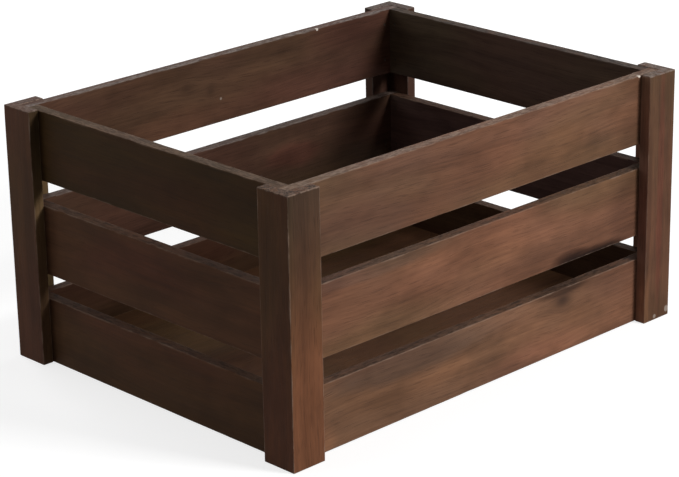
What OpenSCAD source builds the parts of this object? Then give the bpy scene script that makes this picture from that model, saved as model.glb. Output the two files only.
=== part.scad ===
// Slatted storage crate: four L-section corner posts, three slats on each side,
// and a floor panel on cleats. Length runs along X, width along Y, and the feet
// of the posts stand on z = 0 with the origin at the middle of the footprint.

/* [Crate] */
// Outside length, from post face to post face along X
crate_l = 400; // [320:1:600]
// Outside width, from post face to post face along Y
crate_w = 302; // [220:1:450]
// Height from the feet of the posts to their tops
crate_h = 198; // [190:1:240]

/* [Posts] */
// Width of each leg of an L-section post, on its outer face
post_leg = 29.5; // [28:0.5:45]
// Thickness of each leg of a post
post_t = 9; // [7:0.5:11]
// Height of the post tops above the top slats
post_proud = 0.5; // [0.2:0.1:3]
// Height of the bottom slats and cleats above the feet of the posts
post_foot = 0.5; // [0.2:0.1:5]

/* [Slats] */
// Thickness of every slat
slat_t = 9; // [7:0.5:11]
// Height of the top and middle slats; the bottom slats take what is left
slat_h = 54; // [45:0.5:58]
// Open gap between a slat and the next one
slat_gap = 19; // [12:0.5:22]

/* [Floor] */
// Thickness of the floor panel
floor_t = 5; // [3:0.5:9]
// Height of the cleats under the floor panel
cleat_h = 8.5; // [7:0.5:14]
// Width of the cleats under the floor panel
cleat_w = 12; // [9:0.5:20]

/* [Brads] */
// Diameter of a brad's shank
brad_d = 1.2; // [1:0.1:1.6]
// Diameter of a brad's head
brad_head_d = 2.2; // [1.8:0.1:3]
// Thickness of a brad's head
brad_head_t = 0.8; // [0.5:0.1:1.2]
// Length of a brad's pointed tip
brad_tip = 1.2; // [0.8:0.1:2]
// Depth that a brad reaches into the piece behind the one it is driven through
brad_bite = 6; // [4:0.5:6.5]
// Depth of a brad's head below the surface of the wood
brad_set = 0.3; // [0.1:0.1:0.6]
// Clearance all round a brad in its hole
brad_gap = 0.05; // [0.02:0.01:0.1]
// Distance of the slat brads from the long edges of a slat
brad_edge = 12; // [8:1:16]
// Number of brads through the floor into each long cleat
long_brads = 5; // [3:1:9]
// Number of brads through the floor into each short cleat
short_brads = 3; // [2:1:6]

/* [Hidden] */

// Wood and metal colours
post_color = [0.38, 0.25, 0.18];
slat_color = [0.45, 0.27, 0.18];
end_slat_color = [0.26, 0.16, 0.11];
floor_color = [0.30, 0.18, 0.12];
cleat_color = [0.36, 0.22, 0.14];
brad_color = [0.24, 0.21, 0.19];

// Slat rows, numbered from the bottom
bottom = 0;
middle = 1;
top = 2;
rows = [bottom, middle, top];
both_ends = [-1, 1];

// Faces of the slats: their outer faces lie against the post legs
slats_out_l = crate_l - 2 * post_t;
slats_out_w = crate_w - 2 * post_t;
inside_l = slats_out_l - 2 * slat_t;
inside_w = slats_out_w - 2 * slat_t;

// Heights
slats_top = crate_h - post_proud;
top_z = slats_top - slat_h;
middle_z = top_z - slat_gap - slat_h;
bottom_h = middle_z - slat_gap - post_foot;
row_z = [post_foot, middle_z, top_z];
row_h = [bottom_h, slat_h, slat_h];
floor_z = post_foot + cleat_h;
floor_top = floor_z + floor_t;

// Brads: each one is as deep as the piece that it holds and its bite behind it
slat_brad_l = slat_t + brad_bite;
cleat_brad_l = cleat_w + brad_bite;
floor_brad_l = floor_t + brad_bite;
post_lap = (post_leg + post_t + slat_t) / 2;
brad_x = crate_l / 2 - post_lap;
brad_y = crate_w / 2 - post_lap;
cleat_brad_z = post_foot + cleat_h / 2;
short_cleat_l = inside_w - 2 * cleat_w;
tip_d = brad_d / 3;
brad_fn = 24;
cut_over = 0.5;

// Heights of the two brads in each end of a slat, clear of the floor panel
function brad_heights(row) = [
    (row == bottom ? floor_top : row_z[row]) + brad_edge,
    row_z[row] + row_h[row] - brad_edge
];

// Places of a number of brads, spread evenly along a length and centred on 0
function spread(count, length) = [
    for (i = [0 : count - 1]) (i - (count - 1) / 2) * length / count
];

// One brad, driven along +Z from a surface at z = 0
module brad(depth) {
    color(brad_color) {
        translate([0, 0, brad_set])
            cylinder(h = brad_head_t, d = brad_head_d, $fn = brad_fn);
        translate([0, 0, brad_set])
            cylinder(h = depth - brad_set - brad_tip, d = brad_d, $fn = brad_fn);
        translate([0, 0, depth - brad_tip])
            cylinder(h = brad_tip, d1 = brad_d, d2 = tip_d, $fn = brad_fn);
    }
}

// The hole for one brad: a shank bore, wider at the mouth for the head
module brad_hole(depth) {
    translate([0, 0, -cut_over])
        cylinder(h = cut_over + depth + brad_gap, d = brad_d + 2 * brad_gap, $fn = brad_fn);
    translate([0, 0, -cut_over])
        cylinder(
            h = cut_over + brad_set + brad_head_t + brad_gap,
            d = brad_head_d + 2 * brad_gap,
            $fn = brad_fn
        );
}

// Puts its children at the brads of the front slats, driven along -Y
module at_front_brads(in_rows, ends) {
    for (row = in_rows)
        for (end = ends)
            for (z = brad_heights(row))
                translate([end * brad_x, -inside_w / 2, z])
                    rotate([90, 0, 0])
                        children();
}

// Puts its children at the brads of the left slats, driven along -X
module at_left_brads(in_rows, ends) {
    for (row = in_rows)
        for (end = ends)
            for (z = brad_heights(row))
                translate([-inside_l / 2, end * brad_y, z])
                    rotate([0, -90, 0])
                        children();
}

// Puts its children at the brads of the front cleat, driven along -Y
module at_front_cleat_brads() {
    for (x = spread(long_brads - 1, inside_l * (long_brads - 1) / long_brads))
        translate([x, -inside_w / 2 + cleat_w, cleat_brad_z])
            rotate([90, 0, 0])
                children();
}

// Puts its children at the brads of the left cleat, driven along -X
module at_left_cleat_brads() {
    for (y = spread(short_brads - 1, short_cleat_l * (short_brads - 1) / short_brads))
        translate([-inside_l / 2 + cleat_w, y, cleat_brad_z])
            rotate([0, -90, 0])
                children();
}

// Puts its children at the brads through the floor's front edge, driven along -Z
module at_front_floor_brads() {
    for (x = spread(long_brads, inside_l))
        translate([x, -inside_w / 2 + cleat_w / 2, floor_top])
            rotate([180, 0, 0])
                children();
}

// Puts its children at the brads through the floor's left edge, driven along -Z
module at_left_floor_brads() {
    for (y = spread(short_brads, short_cleat_l))
        translate([-inside_l / 2 + cleat_w / 2, y, floor_top])
            rotate([180, 0, 0])
                children();
}

// Draws its children as they stand, and again on the opposite side
module twice(across) {
    children();
    mirror(across) children();
}

// L-section post at the front left corner, bored for the brads of its slats
module corner_post() {
    color(post_color)
        difference() {
            translate([-crate_l / 2, -crate_w / 2, 0])
                linear_extrude(height = crate_h)
                    polygon([
                        [0, 0],
                        [post_leg, 0],
                        [post_leg, post_t],
                        [post_t, post_t],
                        [post_t, post_leg],
                        [0, post_leg]
                    ]);
            at_front_brads(rows, [-1]) brad_hole(slat_brad_l);
            at_left_brads(rows, [-1]) brad_hole(slat_brad_l);
        }
}

// Slat along the front, running right through behind the post legs
module long_slat(row) {
    color(slat_color)
        difference() {
            translate([-slats_out_l / 2, -slats_out_w / 2, row_z[row]])
                cube([slats_out_l, slat_t, row_h[row]]);
            at_front_brads([row], both_ends) brad_hole(slat_brad_l);
            if (row == bottom) at_front_cleat_brads() brad_hole(cleat_brad_l);
        }
}

// Slat across the left end, fitted between the two long slats
module short_slat(row) {
    color(end_slat_color)
        difference() {
            translate([-slats_out_l / 2, -inside_w / 2, row_z[row]])
                cube([slat_t, inside_w, row_h[row]]);
            at_left_brads([row], both_ends) brad_hole(slat_brad_l);
            if (row == bottom) at_left_cleat_brads() brad_hole(cleat_brad_l);
        }
}

// Cleat along the inside of the front bottom slat
module long_cleat() {
    color(cleat_color)
        difference() {
            translate([-inside_l / 2, -inside_w / 2, post_foot])
                cube([inside_l, cleat_w, cleat_h]);
            at_front_cleat_brads() brad_hole(cleat_brad_l);
            at_front_floor_brads() brad_hole(floor_brad_l);
        }
}

// Cleat along the inside of the left bottom slat, fitted between the long cleats
module short_cleat() {
    color(cleat_color)
        difference() {
            translate([-inside_l / 2, -short_cleat_l / 2, post_foot])
                cube([cleat_w, short_cleat_l, cleat_h]);
            at_left_cleat_brads() brad_hole(cleat_brad_l);
            at_left_floor_brads() brad_hole(floor_brad_l);
        }
}

module front_left_post() { corner_post(); }
module front_right_post() { mirror([1, 0, 0]) corner_post(); }
module back_left_post() { mirror([0, 1, 0]) corner_post(); }
module back_right_post() { mirror([1, 0, 0]) mirror([0, 1, 0]) corner_post(); }

module front_top_slat() { long_slat(top); }
module front_middle_slat() { long_slat(middle); }
module front_bottom_slat() { long_slat(bottom); }
module back_top_slat() { mirror([0, 1, 0]) long_slat(top); }
module back_middle_slat() { mirror([0, 1, 0]) long_slat(middle); }
module back_bottom_slat() { mirror([0, 1, 0]) long_slat(bottom); }
module left_top_slat() { short_slat(top); }
module left_middle_slat() { short_slat(middle); }
module left_bottom_slat() { short_slat(bottom); }
module right_top_slat() { mirror([1, 0, 0]) short_slat(top); }
module right_middle_slat() { mirror([1, 0, 0]) short_slat(middle); }
module right_bottom_slat() { mirror([1, 0, 0]) short_slat(bottom); }

module front_cleat() { long_cleat(); }
module back_cleat() { mirror([0, 1, 0]) long_cleat(); }
module left_cleat() { short_cleat(); }
module right_cleat() { mirror([1, 0, 0]) short_cleat(); }

// One-piece floor panel, lying on the cleats between the bottom slats
module floor_panel() {
    color(floor_color)
        difference() {
            translate([-inside_l / 2, -inside_w / 2, floor_z])
                cube([inside_l, inside_w, floor_t]);
            twice([0, 1, 0]) at_front_floor_brads() brad_hole(floor_brad_l);
            twice([1, 0, 0]) at_left_floor_brads() brad_hole(floor_brad_l);
        }
}

module front_brads() { at_front_brads(rows, both_ends) brad(slat_brad_l); }
module back_brads() { mirror([0, 1, 0]) front_brads(); }
module left_brads() { at_left_brads(rows, both_ends) brad(slat_brad_l); }
module right_brads() { mirror([1, 0, 0]) left_brads(); }

module cleat_brads() {
    twice([0, 1, 0]) at_front_cleat_brads() brad(cleat_brad_l);
    twice([1, 0, 0]) at_left_cleat_brads() brad(cleat_brad_l);
}

module floor_brads() {
    twice([0, 1, 0]) at_front_floor_brads() brad(floor_brad_l);
    twice([1, 0, 0]) at_left_floor_brads() brad(floor_brad_l);
}

front_left_post();
front_right_post();
back_left_post();
back_right_post();
front_top_slat();
front_middle_slat();
front_bottom_slat();
back_top_slat();
back_middle_slat();
back_bottom_slat();
left_top_slat();
left_middle_slat();
left_bottom_slat();
right_top_slat();
right_middle_slat();
right_bottom_slat();
front_cleat();
back_cleat();
left_cleat();
right_cleat();
floor_panel();
front_brads();
back_brads();
left_brads();
right_brads();
cleat_brads();
floor_brads();
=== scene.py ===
import math

import bmesh
import bpy
from mathutils import Matrix, Vector, geometry, noise


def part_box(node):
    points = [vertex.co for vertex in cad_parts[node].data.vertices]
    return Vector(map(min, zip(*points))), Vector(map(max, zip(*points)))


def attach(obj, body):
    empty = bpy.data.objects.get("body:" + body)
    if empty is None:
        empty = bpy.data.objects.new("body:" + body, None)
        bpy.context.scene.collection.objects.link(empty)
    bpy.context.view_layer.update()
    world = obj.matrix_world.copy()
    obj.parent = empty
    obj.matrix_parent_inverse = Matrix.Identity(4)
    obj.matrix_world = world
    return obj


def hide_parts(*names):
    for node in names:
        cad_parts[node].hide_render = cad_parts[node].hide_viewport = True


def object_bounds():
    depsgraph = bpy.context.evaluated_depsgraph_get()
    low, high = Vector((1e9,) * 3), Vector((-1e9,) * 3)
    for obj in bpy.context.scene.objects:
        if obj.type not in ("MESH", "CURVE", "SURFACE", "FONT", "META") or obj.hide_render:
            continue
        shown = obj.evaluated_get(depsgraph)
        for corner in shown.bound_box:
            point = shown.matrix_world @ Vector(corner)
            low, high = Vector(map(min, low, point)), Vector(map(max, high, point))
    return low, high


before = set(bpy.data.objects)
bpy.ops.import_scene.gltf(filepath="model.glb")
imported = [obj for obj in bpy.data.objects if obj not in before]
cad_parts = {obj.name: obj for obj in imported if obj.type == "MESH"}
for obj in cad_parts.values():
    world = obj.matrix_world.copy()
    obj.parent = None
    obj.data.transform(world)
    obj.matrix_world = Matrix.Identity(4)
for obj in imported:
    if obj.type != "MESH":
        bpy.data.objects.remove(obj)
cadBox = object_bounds()
print("frame loaded:", len(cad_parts), "nodes")

mm = 0.001
weld = 0.001 * mm  # points closer than this are one
crateHeight = cadBox[1].z


class Signal:
    # a socket that does maths: an expression on signals adds its own Math nodes
    def __init__(self, shader, socket):
        self.shader = shader
        self.socket = socket

    def of(self, output):
        return Signal(self.shader, self.socket.node.outputs[output])

    def maths(self, operation, first, second):
        return self.shader.node("ShaderNodeMath", {"operation": operation}, {0: first, 1: second})

    def most(self, other):
        return self.maths("MAXIMUM", self, other)

    def swing(self, amount):
        # how far a noise is from its middle value
        return (self - 0.5) * amount

    def __add__(self, other):
        return self.maths("ADD", self, other)

    def __radd__(self, other):
        return self.maths("ADD", other, self)

    def __sub__(self, other):
        return self.maths("SUBTRACT", self, other)

    def __rsub__(self, other):
        return self.maths("SUBTRACT", other, self)

    def __mul__(self, other):
        return self.maths("MULTIPLY", self, other)

    def __rmul__(self, other):
        return self.maths("MULTIPLY", other, self)

    def __truediv__(self, other):
        return self.maths("DIVIDE", self, other)

    def __pow__(self, other):
        return self.maths("POWER", self, other)

    def __rpow__(self, other):
        return self.maths("POWER", other, self)


class Shader:
    # builds the nodes of one material, or of the world
    def __init__(self, owner):
        owner.use_nodes = True
        self.tree = owner.node_tree
        self.tree.nodes.clear()

    def node(self, kind, settings, inputs, output=0):
        made = self.tree.nodes.new(kind)
        for key, value in settings.items():
            if key == "stops":
                fillRamp(made.color_ramp, value)
            else:
                setattr(made, key, value)
        for key, value in inputs.items():
            if isinstance(value, Signal):
                self.tree.links.new(value.socket, made.inputs[key])
            else:
                made.inputs[key].default_value = value
        return Signal(self, made.outputs[output]) if made.outputs else None

    def vector(self, x, y, z):
        return self.node("ShaderNodeCombineXYZ", {}, {0: x, 1: y, 2: z})

    def stretch(self, vector, scales):
        return self.node("ShaderNodeVectorMath", {"operation": "MULTIPLY"}, {0: vector, 1: scales})

    def noise(self, vector, scales, detail=2.0, roughness=0.5):
        place = self.stretch(vector, scales)
        return self.node(
            "ShaderNodeTexNoise", {},
            {"Vector": place, "Scale": 1.0, "Detail": detail, "Roughness": roughness},
        )

    def ease(self, value, low, high):
        # smooth step from 0 at low to 1 at high
        settings = {"interpolation_type": "SMOOTHSTEP"}
        inputs = {"Value": value, "From Min": low, "From Max": high}
        return self.node("ShaderNodeMapRange", settings, inputs)

    def mix(self, factor, first, second, blend="MIX"):
        settings = {"data_type": "RGBA", "blend_type": blend, "clamp_factor": True}
        return self.node("ShaderNodeMix", settings, {0: factor, 6: first, 7: second}, 2)

    def finish(self, surface, kind="Material"):
        self.node("ShaderNodeOutput" + kind, {}, {"Surface": surface})


def fillRamp(ramp, stops):
    while len(ramp.elements) < len(stops):
        ramp.elements.new(0.5)
    for element, (place, colour) in zip(ramp.elements, stops):
        element.position = place
        element.color = (*colour, 1)


# the walnut stain, as plain colours under even light; a tint multiplies them. Not all is stain: the ledge
# colour is painted shadow, the pale top colours are partly rubbed wear and partly painted sheen, and the
# dim tint also paints shadows
stain = {
    "deep": (0.046, 0.021, 0.013),
    "brown": (0.130, 0.059, 0.033),
    "warm": (0.214, 0.097, 0.052),
    "greyTint": (0.90, 1.07, 1.27),
    "oliveTint": (0.94, 1.06, 0.94),
    "roseTint": (1.05, 0.96, 1.00),
    "paleTint": (1.30, 1.24, 1.20),
    "dimTint": (0.70, 0.69, 0.71),
    "darkTint": (0.30, 0.29, 0.30),
    "redTint": (1.14, 0.90, 0.96),
    "knot": (0.030, 0.016, 0.011),
    "rubbed": (0.290, 0.200, 0.150),
    "dustAndSheen": (0.235, 0.200, 0.180),
    "shaded": (0.066, 0.039, 0.027),
    "capped": (0.108, 0.072, 0.054),
    "fadedAndSheen": (0.256, 0.196, 0.155),
    "ashen": (0.062, 0.051, 0.044),
    "bare": (0.720, 0.640, 0.560),
    "roughness": 0.52,
    "gloss": 0.04,
    "grainDepth": 0.35 * mm,
}

# each noise of the wood: scales along, across and through a board per metre, detail, roughness
grainNoise = {
    "drift": ((7, 16, 16), 1.0, 0.50),
    "bands": ((4, 85, 85), 2.0, 0.50),
    "fibre": ((16, 620, 620), 3.0, 0.60),
    "pores": ((62, 1250, 1250), 1.0, 0.50),
    "patches": ((9, 24, 24), 2.0, 0.60),
    "smudges": ((16, 30, 30), 3.0, 0.65),
    "hues": ((6, 17, 17), 1.0, 0.50),
    "rub": ((70, 260, 260), 3.0, 0.60),
    "flecks": ((170, 560, 560), 2.0, 0.60),
}

# the values at which each mask starts and is full
grainLimits = {
    "pores": (0.58, 0.70),
    "patches": (0.36, 0.70),
    "smudges": (0.30, 0.62),
    "hues": (0.36, 0.64),
    "clouds": (0.20, 0.75),
    "facing": (0.40, 0.80),
    "upward": (0.55, 0.90),
    "mottle": (0.36, 0.60),
    "outerTop": (0.35, 0.75),
    "flecks": (0.40, 0.58),
    "worn": (0.62, 1.05),
    "chips": (0.00, 0.35),
}

# how strongly each part of the figure shows
figure = {
    "bands": 0.46, "fibre": 0.38, "smudge": 0.26, "pores": 0.32, "mottle": 0.60,
    "shades": {"deep": 0.15, "brown": 0.50, "warm": 0.85},  # places on the colour ramp
    "drift": 0.016,  # how far the grain wanders across the board, in metres
    "driftThrough": 0.5,  # and through it, as a share of that
    "knotBend": -0.8, "knotFade": 1.6,
    "cloudEdge": 0.9, "wornEdge": 1.1, "chipEdge": 0.5,  # how ragged the masks are
    "seedSteps": (1.37, 0.71, 0.29),  # metres from one board's piece of the noise to the next
    # a post's crown takes the top colour: painted light on the shaded step above the slat tops
    "crown": (1.1 * mm, 0.5 * mm),  # how far below its end a post's crown starts and is full
    "relief": 0.45, "reliefFibre": 0.50, "reliefBands": 0.25, "reliefPores": 0.50,
    "roughFibre": 0.25, "roughTop": 0.12,
    "fleckDark": (0.42, 0.44, 0.48), "fleckPale": (1.32, 1.32, 1.32),
}


def opaque(colour):
    return (*colour, 1)


def scaled(colour, amounts):
    return tuple(part * amount for part, amount in zip(colour, amounts))


def oval(spot, along, across):
    # falls from 1 at the middle of the oval towards 0 outside it; v is the place across it
    alongAt, acrossAt, longRadius, crossRadius = spot
    u = (along - alongAt) / longRadius
    v = (across - acrossAt) / crossRadius
    return math.e ** ((u * u + v * v) * -1), v


def woodFinish(name, look):
    # grain runs along the board; knots and clouds are placed in the frame's own metres
    material = bpy.data.materials.new(name)
    s = Shader(material)
    place = s.node("ShaderNodeTexCoord", {}, {}, "Object")
    split = s.node("ShaderNodeSeparateXYZ", {}, {0: place})
    order = {"X": "XZY", "Y": "YZX", "Z": "ZXY"}[look["grain"]]  # along, across and through
    along, across, depth = [split.of(axis) for axis in order]

    # the grain bends round each knot
    knotDark = 0.0
    bend = 0.0
    for *spot, strength in look["knots"]:
        near, v = oval(spot, along, across)
        knotDark = near ** figure["knotFade"] * strength + knotDark
        bend = near * v * (spot[3] * figure["knotBend"]) + bend
    steps = [look["seed"] * step for step in figure["seedSteps"]]
    shifted = s.vector(along + steps[0], across + bend + steps[1], depth + steps[2])

    drift = s.noise(shifted, *grainNoise["drift"]).swing(figure["drift"])
    run = s.vector(0, drift, drift * figure["driftThrough"])
    grain = s.node("ShaderNodeVectorMath", {"operation": "ADD"}, {0: shifted, 1: run})
    bands = s.noise(grain, *grainNoise["bands"])
    fibre = s.noise(grain, *grainNoise["fibre"])
    pores = s.ease(s.noise(grain, *grainNoise["pores"]), *grainLimits["pores"])
    patches = s.noise(shifted, *grainNoise["patches"])
    smudges = s.noise(shifted, *grainNoise["smudges"])
    hues = s.noise(shifted, *grainNoise["hues"])

    level = 0.5 + bands.swing(figure["bands"]) + fibre.swing(figure["fibre"])
    tone = look["tone"]
    stops = [(at, scaled(stain[shade], tone)) for shade, at in figure["shades"].items()]
    colour = s.node("ShaderNodeValToRGB", {"stops": stops}, {0: level})
    hue = s.mix(s.ease(hues, *grainLimits["hues"]), opaque(stain["roseTint"]), opaque(stain["oliveTint"]))
    colour = s.mix(look["hue"], colour, hue, "MULTIPLY")
    greyness = s.ease(patches, *grainLimits["patches"]) * look["grey"]
    colour = s.mix(greyness, colour, opaque(stain["greyTint"]), "MULTIPLY")
    shade = s.ease(smudges, *grainLimits["smudges"]) * figure["smudge"] + (1 - figure["smudge"])
    colour = s.mix(1.0, colour, s.vector(shade, shade, shade), "MULTIPLY")
    colour = s.mix(pores * figure["pores"], colour, opaque(scaled(stain["deep"], tone)))
    for *spot, tint, strength in look["clouds"]:
        ragged = oval(spot, along, across)[0] + smudges.swing(figure["cloudEdge"])
        cloud = s.ease(ragged, *grainLimits["clouds"]) * strength
        colour = s.mix(cloud, colour, opaque(stain[tint]), "MULTIPLY")
    normal = s.node("ShaderNodeTexCoord", {}, {}, "Normal")
    # faces that look one way take a tint: painted light and painted shade on one side of a board
    for low, high, facing, tint in look["paintedSideShading"]:
        toward = s.node("ShaderNodeVectorMath", {"operation": "DOT_PRODUCT"}, {0: normal, 1: facing}, 1)
        sideShade = s.ease(along, low, high) * s.ease(toward, *grainLimits["facing"])
        colour = s.mix(sideShade, colour, opaque(tint), "MULTIPLY")
    colour = s.mix(knotDark, colour, opaque(scaled(stain["knot"], tone)))

    # mottled tops: on the rims partly rubbed wear and partly painted sheen, on the ledges under the slats
    # painted shadow; paler towards the inside where the board's look says so
    rub = s.noise(shifted, *grainNoise["rub"])
    upward = s.node("ShaderNodeSeparateXYZ", {}, {0: normal}, 2)
    mottle = s.ease(rub, *grainLimits["mottle"]) * figure["mottle"] + (1 - figure["mottle"])
    crown = s.ease(upward, *grainLimits["upward"])
    # a post's topmost strip, with the small step face just above the slats, takes the top colour too:
    # painted light on that shaded step
    if look["grain"] == "Z":
        low, high = [crateHeight - drop for drop in figure["crown"]]
        crown = crown.most(s.ease(along, low, high))
    top = crown * mottle * look["top"]
    if look["outerTop"] < 1:
        inner, outer = look["thick"]
        reach = s.node("ShaderNodeMath", {"operation": "ABSOLUTE"}, {0: depth})
        low, high = [inner + (outer - inner) * share for share in grainLimits["outerTop"]]
        outside = s.ease(reach, low, high)
        top = top * (1 - outside * (1 - look["outerTop"]))
    flecks = s.ease(s.noise(shifted, *grainNoise["flecks"]), *grainLimits["flecks"])
    topWearAndLight = stain[look["topWearAndLight"]]
    dark, pale = [opaque(scaled(topWearAndLight, figure[kind])) for kind in ("fleckDark", "fleckPale")]
    colour = s.mix(top, colour, s.mix(flecks, dark, pale))

    # edges rubbed through the stain, and chips down to the bare wood
    edge = s.node("ShaderNodeAttribute", {"attribute_name": "wear"}, {}, 2)
    worn = s.ease(edge + rub.swing(figure["wornEdge"]), *grainLimits["worn"]) * look["wear"]
    colour = s.mix(worn, colour, opaque(stain[look["rub"]]))
    for *spot, radius, strength in look["chips"]:
        away = s.node("ShaderNodeVectorMath", {"operation": "DISTANCE"}, {0: place, 1: tuple(spot)}, 1)
        near = (radius - away) / radius + rub.swing(figure["chipEdge"])
        chip = s.ease(near, *grainLimits["chips"]) * strength
        colour = s.mix(chip, colour, opaque(stain["bare"]))

    height = fibre * figure["reliefFibre"] + bands * figure["reliefBands"] - pores * figure["reliefPores"]
    bump = s.node(
        "ShaderNodeBump", {},
        {"Strength": figure["relief"], "Distance": stain["grainDepth"], "Height": height},
    )
    roughness = stain["roughness"] + fibre.swing(figure["roughFibre"]) + top * figure["roughTop"]
    inputs = {
        "Base Color": colour, "Roughness": roughness, "Normal": bump,
        "Specular IOR Level": stain["gloss"],
    }
    surface = s.node("ShaderNodeBsdfPrincipled", {}, inputs)
    s.finish(surface)
    return material


# brads, driven from inside and stained over; their heads sit in shallow dimples
brads = {
    "nodes": ["front_brads", "back_brads", "left_brads", "right_brads", "cleat_brads", "floor_brads"],
    "rim": 0.06 * mm,  # the dimple's room round the head
    "shown": 0.06 * mm,  # the head's height that the dimple lays bare
    "sides": 16,
    "headShare": 0.9,  # points further out than this share of the radius are the head's
    "reach": 1.0 * mm,  # a head this close under a face gets a dimple
    "cut": 2 * mm,
    "steel": (0.075, 0.060, 0.052),
    "stained": (0.040, 0.026, 0.018),
    "spots": ((900, 900, 900), 2.0),
    "spotLimits": (0.4, 0.6),
    "roughness": 0.3,
    "roughSpots": 0.4,
    "metallic": 0.7,
}


def headsOf(node):
    # the middle of each head's outer face, the way it faces, and its radius
    bm = bmesh.new()
    bm.from_mesh(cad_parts[node].data)
    bmesh.ops.remove_doubles(bm, verts=bm.verts, dist=weld)
    found = []
    left = set(bm.verts)
    while left:
        grown = [left.pop()]
        points = []
        while grown:
            vert = grown.pop()
            points.append(vert.co.copy())
            for edge in vert.link_edges:
                other = edge.other_vert(vert)
                if other in left:
                    left.remove(other)
                    grown.append(other)
        low = Vector([min(point[k] for point in points) for k in range(3)])
        high = Vector([max(point[k] for point in points) for k in range(3)])
        middle = (low + high) / 2
        axis = max(range(3), key=lambda k: high[k] - low[k])
        radius = max(high[k] - low[k] for k in range(3) if k != axis) / 2
        least = radius * brads["headShare"]
        wide = [point for point in points if (point - middle)[(axis + 1) % 3] > least]
        side = 1 if wide[0][axis] > middle[axis] else -1
        facing = Vector([side * (axis == k) for k in range(3)])
        head = middle.copy()
        head[axis] = high[axis] if side > 0 else low[axis]
        found.append((head, facing, radius))
    bm.free()
    return found


bradHeads = [head for node in brads["nodes"] for head in headsOf(node)]
print("brad heads found:", len(bradHeads))


def sinkHeads(piece):
    # cuts a dimple over each head that lies just under one of the piece's faces
    low = Vector([min(vert.co[k] for vert in piece.data.vertices) for k in range(3)])
    high = Vector([max(vert.co[k] for vert in piece.data.vertices) for k in range(3)])
    bm = bmesh.new()
    for head, facing, radius in bradHeads:
        inside = all(low[k] < head[k] < high[k] for k in range(3))
        clear = head + facing * brads["reach"]
        if inside and not all(low[k] < clear[k] < high[k] for k in range(3)):
            start = head - facing * brads["shown"]
            turn = facing.to_track_quat("Z", "Y").to_matrix().to_4x4()
            spot = Matrix.Translation(start + facing * brads["cut"] / 2) @ turn
            wide = radius + brads["rim"]
            bmesh.ops.create_cone(
                bm, cap_ends=True, segments=brads["sides"], radius1=wide, radius2=wide,
                depth=brads["cut"], matrix=spot,
            )
    if not bm.verts:
        bm.free()
        return
    cutterMesh = bpy.data.meshes.new("cutter")
    bm.to_mesh(cutterMesh)
    bm.free()
    cutter = bpy.data.objects.new("cutter", cutterMesh)
    bpy.context.scene.collection.objects.link(cutter)
    dimples = piece.modifiers.new("dimples", "BOOLEAN")
    dimples.operation = "DIFFERENCE"
    dimples.solver = "EXACT"
    dimples.object = cutter
    bpy.context.view_layer.update()
    cutPiece = piece.evaluated_get(bpy.context.evaluated_depsgraph_get())
    sunk = bpy.data.meshes.new_from_object(cutPiece)
    piece.modifiers.clear()
    blank = piece.data
    piece.data = sunk
    sunk.name = piece.name
    bpy.data.meshes.remove(blank)
    bpy.data.objects.remove(cutter)
    bpy.data.meshes.remove(cutterMesh)


# eased edges and the slight unevenness of sawn and sanded wood
joinery = {
    "ease": 0.6 * mm,
    "easeSegments": 2,
    "easeProfile": 0.5,
    "flatAngle": 0.1,  # edges flatter than this, in radians, aren't eased
    "alongShare": 0.9,  # an edge runs along the board when this share of it does
    "slack": 0.1 * mm,  # how far past the legs an edge between them may end
    "wearReach": 2.6 * mm,
    "inReach": 0.4,  # share of the thickness, so that the cuts beside two arrises never meet
    "wideFace": 6 * mm,  # a post's faces wider than this are inset, to keep the wear at the arrises
    "slice": 9 * mm,
    "waver": 0.12 * mm,
    "waverScale": 27,
    "dent": 0.30 * mm,
    "dentScale": 103.5,
    "dentFrom": 0.12,
    "dentSharp": 1.5,
    "seedStep": 0.068889,  # metres from one board's piece of the noise to the next
}


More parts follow.
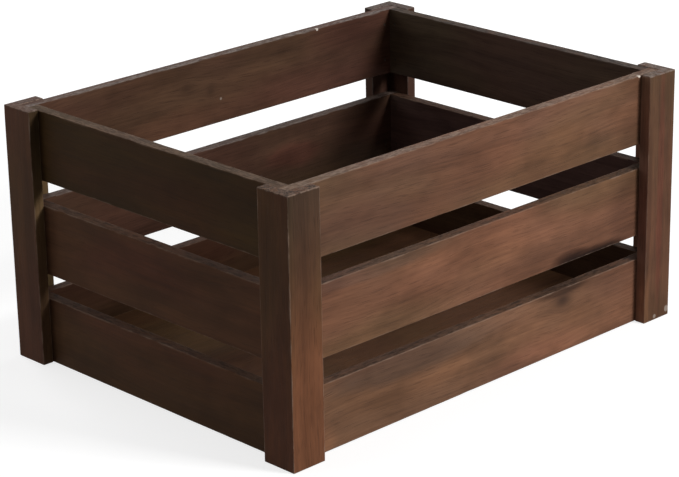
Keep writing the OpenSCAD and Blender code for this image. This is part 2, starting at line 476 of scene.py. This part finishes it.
def dressWood(bm, name, look):
    # eases the convex edges, slices the board along its grain and wears it a little;
    # a slat's edges stay square where the posts cover them
    bmesh.ops.recalc_face_normals(bm, faces=bm.faces)
    bm.normal_update()
    axis = "XYZ".index(look["grain"])
    if look["clear"]:
        sliceAt(bm, axis, look["clear"])
        sliceAt(bm, axis, -look["clear"])
        bm.normal_update()
    least = joinery["flatAngle"]
    convex = [edge for edge in bm.edges if edge.is_convex and edge.calc_face_angle(0) > least]
    if look["clear"]:
        convex = [edge for edge in convex if isClear(edge, axis, look["clear"])]
    exposed = [edge for edge in convex if look["grain"] == "Z" or runsAlong(edge, axis)]
    arrises = [(edge.verts[0].co.copy(), edge.verts[1].co.copy()) for edge in exposed]
    bmesh.ops.bevel(
        bm, geom=convex, offset=joinery["ease"], offset_type="OFFSET", affect="EDGES",
        segments=joinery["easeSegments"], profile=joinery["easeProfile"], material=-1,
    )
    if look["grain"] == "Z":
        least = joinery["wideFace"]
        wide = [face for face in bm.faces if min(side.calc_length() for side in face.edges) > least]
        bmesh.ops.inset_individual(bm, faces=wide, thickness=joinery["wearReach"], depth=0)
    for k in range(3):
        low = min(vert.co[k] for vert in bm.verts)
        high = max(vert.co[k] for vert in bm.verts)
        if k == axis:
            slices = round((high - low) / joinery["slice"])
            for i in range(1, slices):
                sliceAt(bm, k, low + (high - low) * i / slices)
        elif look["grain"] != "Z":
            # cuts beside the arrises keep the wear close to them
            reach = min(joinery["ease"] + joinery["wearReach"], (high - low) * joinery["inReach"])
            sliceAt(bm, k, low + reach)
            sliceAt(bm, k, high - reach)
    bm.normal_update()
    wear = bm.verts.layers.float.new("wear")
    moves = []
    for vert in bm.verts:
        away = min((vert.co - closestOn(vert.co, *arris)).length for arris in arrises)
        near = max(0.0, 1 - away / joinery["wearReach"])
        vert[wear] = near
        spot = vert.co + Vector((look["seed"] * joinery["seedStep"], 0, 0))
        ripple = (noise.noise(spot * joinery["waverScale"]) + 1) / 2
        knock = max(0.0, noise.noise(spot * joinery["dentScale"]) - joinery["dentFrom"])
        dent = knock ** joinery["dentSharp"] * near
        moves.append(joinery["waver"] * ripple + joinery["dent"] * dent)
    for vert, move in zip(bm.verts, moves):
        vert.co -= vert.normal * move
    mesh = bpy.data.meshes.new(name)
    bm.to_mesh(mesh)
    bm.free()
    mesh.materials.append(woodFinish(name, look))
    piece = bpy.data.objects.new(name, mesh)
    bpy.context.scene.collection.objects.link(piece)
    sinkHeads(piece)
    return piece


def sliceAt(bm, axis, place):
    normal = Vector([axis == k for k in range(3)])
    bmesh.ops.bisect_plane(
        bm, geom=bm.verts[:] + bm.edges[:] + bm.faces[:], dist=weld,
        plane_co=normal * place, plane_no=normal,
    )


def runsAlong(edge, axis):
    span = edge.verts[1].co - edge.verts[0].co
    return abs(span[axis]) > joinery["alongShare"] * span.length


def isClear(edge, axis, limit):
    # the edge lies between the post legs
    inside = all(abs(vert.co[axis]) < limit + joinery["slack"] for vert in edge.verts)
    return inside and runsAlong(edge, axis)


def closestOn(point, start, end):
    spot, share = geometry.intersect_point_line(point, start, end)
    return start.lerp(end, min(1.0, max(0.0, share)))


def seat(piece, node):
    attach(piece, "root")
    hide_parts(node)
    for polygon in piece.data.polygons:
        polygon.use_smooth = False


def boardBlank(node):
    low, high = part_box(node)
    bm = bmesh.new()
    bmesh.ops.create_cube(bm, size=1)
    bmesh.ops.scale(bm, vec=high - low, verts=bm.verts)
    bmesh.ops.translate(bm, vec=(low + high) / 2, verts=bm.verts)
    return bm


# a board's look where nothing else is said of it; a knot is its place along and across, two radii
# and a strength, a cloud has a tint before its strength, a chip is a place, a radius and a strength,
# and a side shading is where it starts and is full, the way the face looks, and a tint that paints light
# and shade on the faces that look that way
plain = {
    "tone": (1, 1, 1), "grey": 0.30, "hue": 0.8,
    # by default the top faces take the ledge colour, a painted shadow cast by the slat above
    "top": 0.85, "topWearAndLight": "shaded", "outerTop": 1,
    "clear": 0, "wear": 0.45, "rub": "rubbed",
    "knots": [], "clouds": [], "paintedSideShading": [], "chips": [],
}

# long slats, brighter than the ends; the back slats' lower tones are partly painted shade, as the inside of
# the back wall gets less light
longSlats = {
    "front_top_slat": {
        "seed": 1, "tone": (1.19, 1.27, 1.31), "grey": 0.45, "hue": 0.6, "top": 0.52, "topWearAndLight": "fadedAndSheen",
        "clouds": [
            (-0.140, 0.160, 0.060, 0.030, "greyTint", 0.35),
            (0.080, 0.178, 0.085, 0.028, "paleTint", 0.75),
            (-0.130, 0.156, 0.070, 0.018, "dimTint", 0.50),
            # painted shadow of the right post on the slat's right end
            (0.172, 0.150, 0.030, 0.020, "dimTint", 0.60),
            (-0.060, 0.150, 0.060, 0.018, "dimTint", 0.25),
        ],
        "chips": [(0.1685, -0.1412, 0.1975, 1.9 * mm, 0.95)],
    },
    "front_middle_slat": {
        "seed": 2, "tone": (1.39, 1.47, 1.50), "grey": 0.25, "hue": 0.6,
        "clouds": [
            (0.112, 0.0715, 0.045, 0.0060, "darkTint", 1.00),
            (0.092, 0.0760, 0.020, 0.0040, "darkTint", 0.70),
            (0.116, 0.0700, 0.042, 0.0042, "darkTint", 1.00),
            (-0.050, 0.102, 0.040, 0.018, "paleTint", 0.45),
            (-0.110, 0.121, 0.070, 0.006, "greyTint", 0.60),
            (0.030, 0.110, 0.060, 0.020, "paleTint", 0.55),
            # painted shadow of the right post on the slat's right end
            (0.165, 0.095, 0.030, 0.040, "dimTint", 0.90),
            (-0.160, 0.121, 0.020, 0.008, "dimTint", 0.70),
        ],
    },
    "front_bottom_slat": {
        "seed": 3, "tone": (1.42, 1.49, 1.55), "grey": 0.30, "hue": 0.4,
        "knots": [(0.085, 0.042, 0.013, 0.009, 0.85)],
        "clouds": [
            (-0.070, 0.043, 0.085, 0.012, "greyTint", 0.70),
            (-0.090, 0.045, 0.070, 0.014, "dimTint", 0.95),
            (0.140, 0.046, 0.040, 0.010, "dimTint", 0.60),
            (0.040, 0.020, 0.030, 0.024, "paleTint", 0.50),
            (0.060, 0.020, 0.120, 0.018, "paleTint", 0.60),
            (0.110, 0.008, 0.060, 0.010, "paleTint", 0.25),
            (-0.166, 0.010, 0.014, 0.016, "paleTint", 1.00),
            (0.086, 0.0495, 0.030, 0.0040, "darkTint", 0.85),
        ],
    },
    "back_top_slat": {
        "seed": 4, "tone": (0.71, 0.74, 0.85), "grey": 0.15, "top": 0.62,
        "topWearAndLight": "dustAndSheen", "rub": "dustAndSheen", "outerTop": 0.35,
        "knots": [(-0.0156, 0.171, 0.006, 0.006, 0.45), (-0.040, 0.178, 0.010, 0.006, 0.35)],
        "clouds": [
            (-0.050, 0.153, 0.060, 0.012, "paleTint", 0.90),
            # painted shadow of the right wall on the back wall's right end
            (0.150, 0.165, 0.045, 0.040, "dimTint", 0.80),
        ],
        "chips": [(-0.0055, 0.133, 0.1625, 1.2 * mm, 0.25), (0.0995, 0.1340, 0.1970, 1.7 * mm, 0.9)],
    },
    "back_middle_slat": {
        "seed": 5, "tone": (0.54, 0.60, 0.69), "grey": 0.10, "top": 0.28,
        "topWearAndLight": "dustAndSheen", "rub": "dustAndSheen",
        "clouds": [
            (0.070, 0.098, 0.035, 0.012, "redTint", 0.90),
            # painted shadow of the right wall on the back wall's right end
            (0.155, 0.100, 0.045, 0.040, "dimTint", 0.90),
        ],
    },
    "back_bottom_slat": {"seed": 6, "tone": (0.70, 0.72, 0.78), "grey": 0.20},
}

# short slats, darker: partly a darker stain, partly painted shade for the faces turned away from the key
# lamp
shortSlats = {
    "left_top_slat": {
        # its rim's pale top is partly rubbed wear, partly painted sheen
        "seed": 7, "tone": (0.388, 0.412, 0.330), "grey": 0.0, "hue": 1.0, "top": 0.22, "topWearAndLight": "rubbed",
    },
    "left_middle_slat": {
        "seed": 8, "tone": (0.76, 0.71, 0.74), "grey": 0.0,
        # painted shadow beside the back-left post
        "clouds": [(0.122, 0.097, 0.014, 0.060, "dimTint", 0.80)],
    },
    "left_bottom_slat": {
        "seed": 9, "tone": (0.69, 0.69, 0.68), "grey": 0.0,
        # painted shadow beside the back-left post
        "clouds": [(0.122, 0.026, 0.014, 0.060, "dimTint", 0.70)],
    },
    "right_top_slat": {
        "seed": 10, "tone": (0.62, 0.70, 0.76), "grey": 0.20, "top": 0.90,
        # painted light: the inner face, turned away from the key, lighter and bluer
        "paintedSideShading": [(-0.20, -0.19, (-1, 0, 0), (1.06, 1.28, 1.50))],
        "topWearAndLight": "ashen", "rub": "dustAndSheen", "wear": 0.3,
    },
    "right_middle_slat": {
        "seed": 11, "tone": (0.66, 0.72, 0.78), "grey": 0.20,
        # painted light: the inner face, turned away from the key, lighter and bluer
        "paintedSideShading": [(-0.20, -0.19, (-1, 0, 0), (1.06, 1.28, 1.74))],
    },
    "right_bottom_slat": {"seed": 12, "tone": (0.62, 0.68, 0.74), "grey": 0.20},
}


def makeSlats(slats, grain):
    for node, own in slats.items():
        low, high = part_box(node)
        across = {"X": 1, "Y": 0}[grain]  # the axis through the slat's thickness
        thick = sorted((abs(low[across]), abs(high[across])))
        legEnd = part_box("front_left_post")[1]
        clear = abs(legEnd.x if grain == "X" else legEnd.y)
        look = {**plain, "grain": grain, "thick": thick, "clear": clear, **own}
        seat(dressWood(boardBlank(node), node.replace("_slat", "Slat"), look), node)


makeSlats(longSlats, "X")
makeSlats(shortSlats, "Y")
print("slats made:", len(longSlats) + len(shortSlats))

# corner posts of L section, their legs as thick as the step from post to slat
cornerPosts = {
    "front_left_post": {
        "seed": 21, "corner": (-1, -1), "tone": (1.30, 1.24, 1.07), "grey": 0.15,
        "top": 1.3, "topWearAndLight": "capped", "wear": 0.6,
        # painted side shading: the front face darker towards the top, and the left face darker, painted
        # shade on the side turned from the lamps
        "paintedSideShading": [
            (0.05, 0.206, (0, -1, 0), (0.37, 0.52, 0.64)),
            (-0.02, -0.01, (-1, 0, 0), (0.59, 0.61, 0.72)),
        ],
    },
    "front_right_post": {
        "seed": 22, "corner": (1, -1), "tone": (0.88, 0.95, 0.97), "grey": 0.1,
        "top": 0.55, "topWearAndLight": "dustAndSheen", "wear": 0.25,
        "clouds": [
            # painted shade along the post's inner edge, where it meets the slats
            (0.095, 0.1725, 0.080, 0.0035, "dimTint", 0.75),
            (0.110, 0.1860, 0.120, 0.0040, "redTint", 0.90),
            (0.020, 0.1850, 0.030, 0.0300, "paleTint", 0.40),
            (0.012, 0.1730, 0.030, 0.0030, "paleTint", 0.90),
        ],
        # painted light on the leg's side face, which is in shade
        "paintedSideShading": [(-0.02, -0.01, (-1, 0, 0), (2.2, 2.2, 2.6))],
        "chips": [(0.1975, -0.151, 0.0055, 3.0 * mm, 0.30), (0.1830, -0.151, 0.0030, 2.0 * mm, 0.28)],
    },
    "back_left_post": {
        "seed": 23, "corner": (-1, 1), "tone": (0.74, 0.77, 0.82), "grey": 0.0,
        "top": 0.36, "topWearAndLight": "dustAndSheen", "wear": 0.6,
        # painted light on the step face turned to the front, and painted shade over its upper part
        "paintedSideShading": [
            (-0.02, -0.01, (0, -1, 0), (1.45, 1.80, 1.55)),
            (0.140, 0.180, (0, -1, 0), (0.45, 0.45, 0.45)),
        ],
        "clouds": [(0.120, 0.1450, 0.100, 0.0030, "redTint", 0.90)],
    },
    "back_right_post": {
        "seed": 24, "corner": (1, 1), "tone": (0.50, 0.55, 0.65), "grey": 0.2, "top": 0.40,
        "topWearAndLight": "dustAndSheen", "rub": "dustAndSheen",
    },
}


def postBlank(node, corner):
    low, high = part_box(node)
    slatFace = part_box("front_top_slat")[0].y
    legThickness = slatFace - cadBox[0].y
    legWidth = high.x - low.x
    side, face = corner
    outer = Vector((high.x if side > 0 else low.x, high.y if face > 0 else low.y, low.z))
    outline = [
        (0, 0), (legWidth, 0), (legWidth, legThickness),
        (legThickness, legThickness), (legThickness, legWidth), (0, legWidth),
    ]
    bm = bmesh.new()
    foot = bm.faces.new([bm.verts.new(outer + Vector((-side * x, -face * y, 0))) for x, y in outline])
    grown = bmesh.ops.extrude_face_region(bm, geom=[foot])["geom"]
    risen = [part for part in grown if isinstance(part, bmesh.types.BMVert)]
    bmesh.ops.translate(bm, vec=(0, 0, high.z - low.z), verts=risen)
    return bm


for node, own in cornerPosts.items():
    look = {**plain, "grain": "Z", **own}
    seat(dressWood(postBlank(node, own["corner"]), node.replace("_post", "Post"), look), node)
print("posts made:", len(cornerPosts))

# the floor panel and the cleats under it
floorBoards = {
    "floor_panel": {"seed": 31, "grain": "X", "tone": (0.89, 0.97, 0.90), "grey": 0.1, "top": 0.0},
    "front_cleat": {"seed": 32, "grain": "X", "tone": (0.8, 0.8, 0.8), "top": 0.0},
    "back_cleat": {"seed": 33, "grain": "X", "tone": (0.8, 0.8, 0.8), "top": 0.0},
    "left_cleat": {"seed": 34, "grain": "Y", "tone": (0.8, 0.8, 0.8), "top": 0.0},
    "right_cleat": {"seed": 35, "grain": "Y", "tone": (0.8, 0.8, 0.8), "top": 0.0},
}
for node, own in floorBoards.items():
    look = {**plain, **own}
    seat(dressWood(boardBlank(node), node.replace("_", "-"), look), node)
print("floor made:", len(floorBoards))


def bradFinish():
    material = bpy.data.materials.new("bradSteel")
    s = Shader(material)
    place = s.node("ShaderNodeTexCoord", {}, {}, "Object")
    spots = s.noise(place, *brads["spots"])
    colour = s.mix(s.ease(spots, *brads["spotLimits"]), opaque(brads["steel"]), opaque(brads["stained"]))
    roughness = spots * brads["roughSpots"] + brads["roughness"]
    surface = s.node(
        "ShaderNodeBsdfPrincipled", {},
        {"Base Color": colour, "Roughness": roughness, "Metallic": brads["metallic"]},
    )
    s.finish(surface)
    return material


# the brads keep their CAD shape
steel = bradFinish()
for node in brads["nodes"]:
    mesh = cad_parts[node].data
    mesh.materials.clear()
    mesh.materials.append(steel)
print("brads finished")

# pale studio: the floor shows white to the camera and keeps the shadow; lengths in metres
studio = {
    "floorReach": 8,
    "floorSeen": 0.42,
    "floorGlow": 0.74,
    "glowRamp": (0.5, 1.8),  # the glow grows to the backdrop's over this distance
    "floorBounce": 0.30,
    "ambient": 0.10,
    "backdrop": 1.0,
}


def seenDirectly(s):
    path = s.node("ShaderNodeLightPath", {}, {}, "Is Camera Ray")
    return path + path.of("Is Glossy Ray") + path.of("Is Transmission Ray")


def floorFinish():
    material = bpy.data.materials.new("studioFloor")
    s = Shader(material)
    seen = seenDirectly(s)
    seenShade = studio["floorSeen"]
    bounce = studio["floorBounce"]
    paper = s.mix(seen, opaque((bounce,) * 3), opaque((seenShade,) * 3))
    diffuse = s.node("ShaderNodeBsdfDiffuse", {}, {"Color": paper})
    place = s.node("ShaderNodeTexCoord", {}, {}, "Object")
    away = s.node("ShaderNodeVectorMath", {"operation": "LENGTH"}, {0: place}, 1)
    near = studio["floorGlow"]
    shine = seen * (s.ease(away, *studio["glowRamp"]) * (studio["backdrop"] - near) + near)
    glow = s.node("ShaderNodeEmission", {}, {"Color": s.vector(shine, shine, shine)})
    s.finish(s.node("ShaderNodeAddShader", {}, {0: diffuse, 1: glow}))
    return material


bm = bmesh.new()
bmesh.ops.create_grid(bm, x_segments=1, y_segments=1, size=studio["floorReach"])
floorMesh = bpy.data.meshes.new("studioFloor")
bm.to_mesh(floorMesh)
bm.free()
floorMesh.materials.append(floorFinish())
studioFloor = bpy.data.objects.new("studioFloor", floorMesh)
bpy.context.scene.collection.objects.link(studioFloor)

world = bpy.data.worlds.new("studioWorld")
bpy.context.scene.world = world
sky = Shader(world)
dim = studio["ambient"]
strength = sky.ease(seenDirectly(sky), 0, 1) * (studio["backdrop"] - dim) + dim
background = sky.node("ShaderNodeBackground", {}, {"Color": opaque((1, 1, 1)), "Strength": strength})
sky.finish(background, "World")

# the fills make no highlight; only the key does
lamps = {
    "key": {"place": (0.95, -2.3, 1.36), "size": 0.75, "power": 67},
    "topFill": {"place": (-0.3, -0.2, 2.4), "size": 1.6, "power": 7},
    "leftFill": {"place": (-2.2, 1.1, 0.7), "size": 1.0, "power": 9.0},
    "rightFill": {"place": (2.4, 0.5, 0.9), "size": 1.2, "power": 16},
    "backFill": {"place": (0.2, 2.5, 1.0), "size": 1.2, "power": 26},
}
for name, lamp in lamps.items():
    light = bpy.data.lights.new(name, "AREA")
    light.shape = "SQUARE"
    light.size = lamp["size"]
    light.energy = lamp["power"]
    lampObject = bpy.data.objects.new(name, light)
    lampObject.location = lamp["place"]
    aim = Vector((0, 0, crateHeight / 2)) - lampObject.location
    lampObject.rotation_euler = aim.to_track_quat("-Z", "Y").to_euler()
    lampObject.visible_glossy = name == "key"
    bpy.context.scene.collection.objects.link(lampObject)
print("studio lit")

# the photograph's viewpoint: angles in degrees, lengths in metres, lens in millimetres
viewpoint = {
    "azimuth": -43.943,
    "elevation": 20.060,
    "roll": -1.027,
    "distance": 1.86843,
    "aimRight": -0.005477,
    "aimUp": -0.019575,
    "lens": 131.5,
    "sensor": 36,
    "farthest": 50,
}
turn = math.radians(viewpoint["azimuth"])
rise = math.radians(viewpoint["elevation"])
tilt = math.radians(viewpoint["roll"])
back = Vector((math.sin(turn) * math.cos(rise), -math.cos(turn) * math.cos(rise), math.sin(rise)))
right = Vector((0, 0, 1)).cross(back).normalized()
up = back.cross(right)
right, up = (
    right * math.cos(tilt) + up * math.sin(tilt),
    up * math.cos(tilt) - right * math.sin(tilt),
)
target = Vector((0, 0, crateHeight / 2)) + right * viewpoint["aimRight"] + up * viewpoint["aimUp"]
cameraData = bpy.data.cameras.new("camera")
cameraData.lens = viewpoint["lens"]
cameraData.sensor_width = viewpoint["sensor"]
cameraData.clip_end = viewpoint["farthest"]
camera = bpy.data.objects.new("camera", cameraData)
pose = Matrix((right, up, back)).transposed().to_4x4()
pose.translation = target + back * viewpoint["distance"]
camera.matrix_world = pose
bpy.context.scene.collection.objects.link(camera)
bpy.context.scene.camera = camera
bpy.context.scene.view_settings.view_transform = "Standard"
print("camera set")
